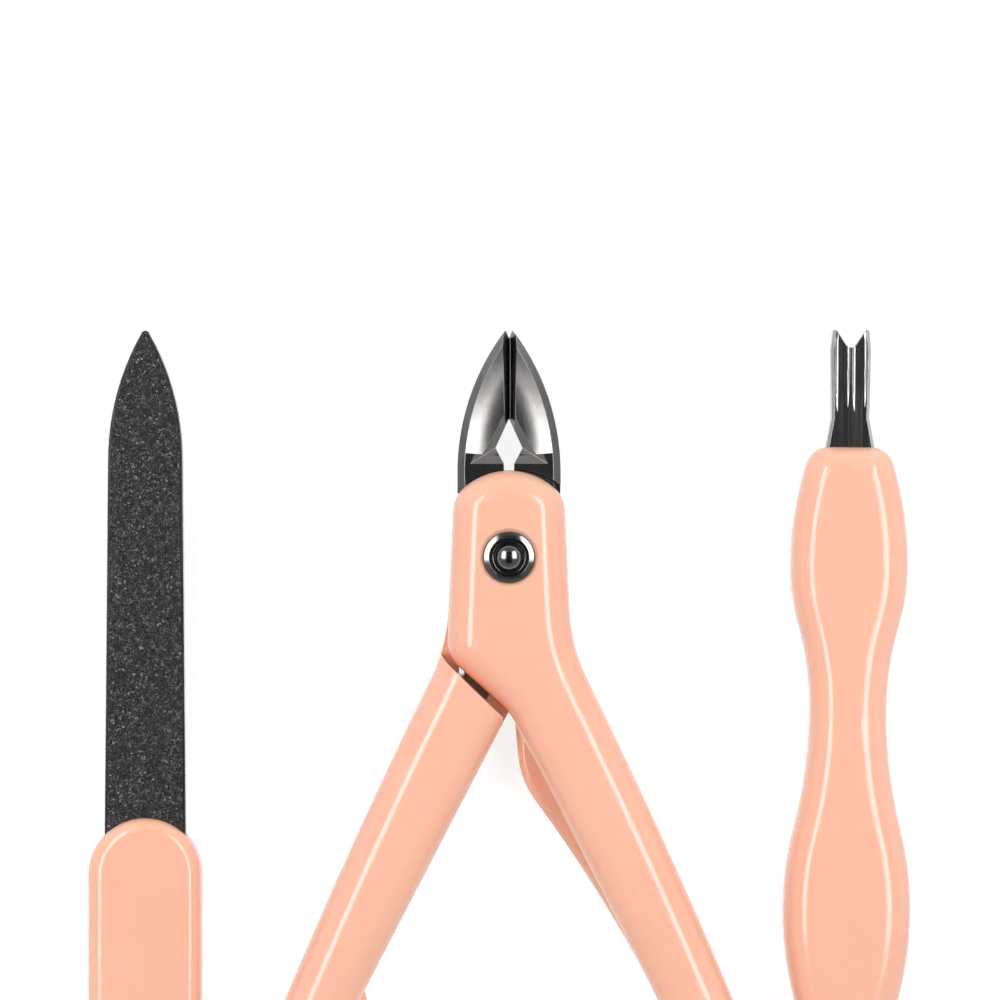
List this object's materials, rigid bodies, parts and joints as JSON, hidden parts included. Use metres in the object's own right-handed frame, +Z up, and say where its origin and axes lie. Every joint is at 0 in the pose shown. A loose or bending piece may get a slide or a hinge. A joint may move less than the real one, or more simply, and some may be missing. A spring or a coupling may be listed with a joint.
{
  "type": "pedicure kit",
  "caption": "Pedicure kit laid flat: pointed nail file with an abrasive coat, cuticle nipper with hinged jaws and fork cuticle trimmer, all with rounded peach plastic handles.",
  "frame": {"origin": "on the table, at the middle of the laid-out kit's outline", "axes": "+Y along the tools towards their tips, +X across the kit from the file to the trimmer, +Z up from the table"},
  "size_m": [0.0822, 0.135, 0.009],
  "materials": {
    "peach_plastic": "glossy",
    "polished_steel": "polished",
    "abrasive_grit": "rough, sparkling"
  },
  "bodies": {
    "pivot": {"pivot_pin": "polished_steel", "front_bush": "polished_steel", "rear_bush": "polished_steel"},
    "right_half": {"right_front_shell": "peach_plastic", "right_back_shell": "peach_plastic", "left_jaw": "polished_steel"},
    "left_half": {"left_back_shell": "peach_plastic", "left_front_shell": "peach_plastic", "right_jaw": "polished_steel"},
    "file": {"file_blade": "polished_steel", "file_front_grit": "abrasive_grit", "file_back_grit": "abrasive_grit", "file_front_shell": "peach_plastic", "file_back_shell": "peach_plastic"},
    "trimmer": {"fork_blade": "polished_steel", "trimmer_front_shell": "peach_plastic", "trimmer_back_shell": "peach_plastic"}
  },
  "joints": [
    {"name": "right_half_hinge", "type": "hinge", "parent": "pivot", "child": "right_half", "pos_m": [0.001, 0.04475, 0.00435], "axis": [0, 0, 1], "range_deg": [0, 5]},
    {"name": "left_half_hinge", "type": "hinge", "parent": "pivot", "child": "left_half", "pos_m": [0.001, 0.04475, 0.00435], "axis": [0, 0, 1], "range_deg": [-5, 0]},
    {"name": "file_lift", "type": "slide", "parent": "pivot", "child": "file", "axis": [0, 0, 1], "range_m": [0, 0.06]},
    {"name": "trimmer_lift", "type": "slide", "parent": "pivot", "child": "trimmer", "axis": [0, 0, 1], "range_m": [0, 0.06]}
  ],
  "couplings": [
    {"joint": "left_half_hinge", "follows": "right_half_hinge", "ratio": -1}
  ]
}
